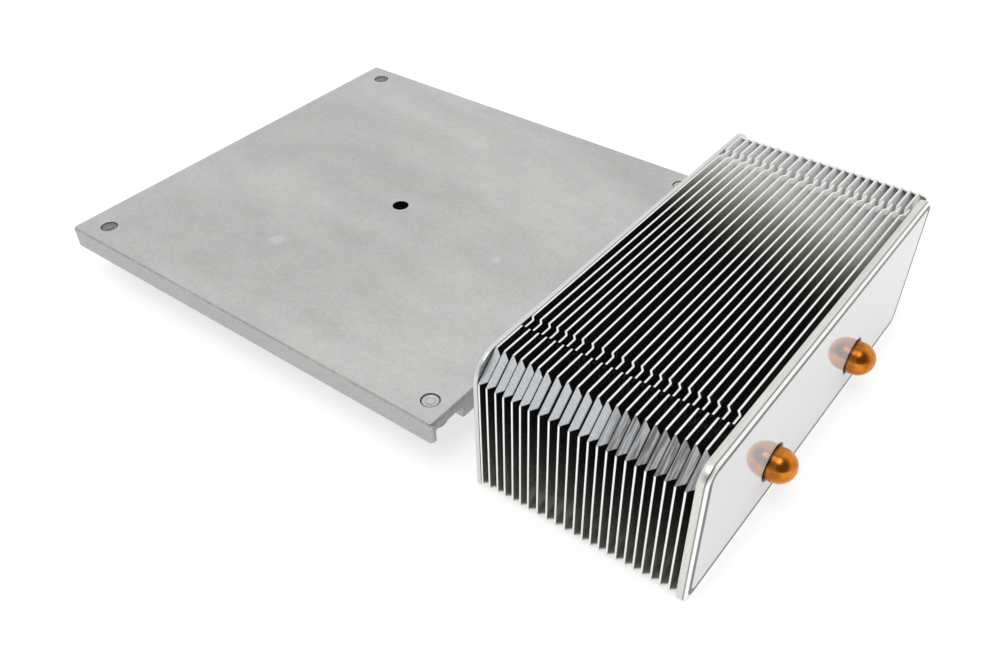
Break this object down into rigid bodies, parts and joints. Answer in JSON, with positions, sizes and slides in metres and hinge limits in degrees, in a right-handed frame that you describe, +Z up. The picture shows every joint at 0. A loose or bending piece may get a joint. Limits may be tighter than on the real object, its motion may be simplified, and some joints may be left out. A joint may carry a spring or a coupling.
{
  "type": "passive server cpu heatsink",
  "caption": "Low passive heatsink for a server processor: a flat aluminium base plate beside an upright stack of folded fins, joined by two flattened copper heat pipes.",
  "frame": {"origin": "under the middle of the whole heatsink, level with the lowest edge of the right end plate", "axes": "+X from the base plate to the fin stack, +Y across the heatsink along the fins, +Z up, away from the processor"},
  "size_m": [0.146, 0.0912, 0.0283],
  "materials": {
    "base_aluminium": "satin extruded",
    "insert_steel": "plated",
    "pipe_copper": "bright copper",
    "fin_aluminium": "mill finish sheet",
    "plate_aluminium": "bright"
  },
  "bodies": {
    "root": {"base_plate": "base_aluminium", "insert_left_front": "insert_steel", "insert_left_back": "insert_steel", "insert_right_front": "insert_steel", "insert_right_back": "insert_steel", "heat_pipe_front": "pipe_copper", "heat_pipe_back": "pipe_copper", "end_plate_left": "plate_aluminium", "fin_01": "fin_aluminium", "fin_02": "fin_aluminium", "fin_03": "fin_aluminium", "fin_04": "fin_aluminium", "fin_05": "fin_aluminium", "fin_06": "fin_aluminium", "fin_07": "fin_aluminium", "fin_08": "fin_aluminium", "fin_09": "fin_aluminium", "fin_10": "fin_aluminium", "fin_11": "fin_aluminium", "fin_12": "fin_aluminium", "fin_13": "fin_aluminium", "fin_14": "fin_aluminium", "fin_15": "fin_aluminium", "fin_16": "fin_aluminium", "fin_17": "fin_aluminium", "fin_18": "fin_aluminium", "fin_19": "fin_aluminium", "fin_20": "fin_aluminium", "fin_21": "fin_aluminium", "fin_22": "fin_aluminium", "fin_23": "fin_aluminium", "end_plate_right": "plate_aluminium"}
  },
  "joints": []
}
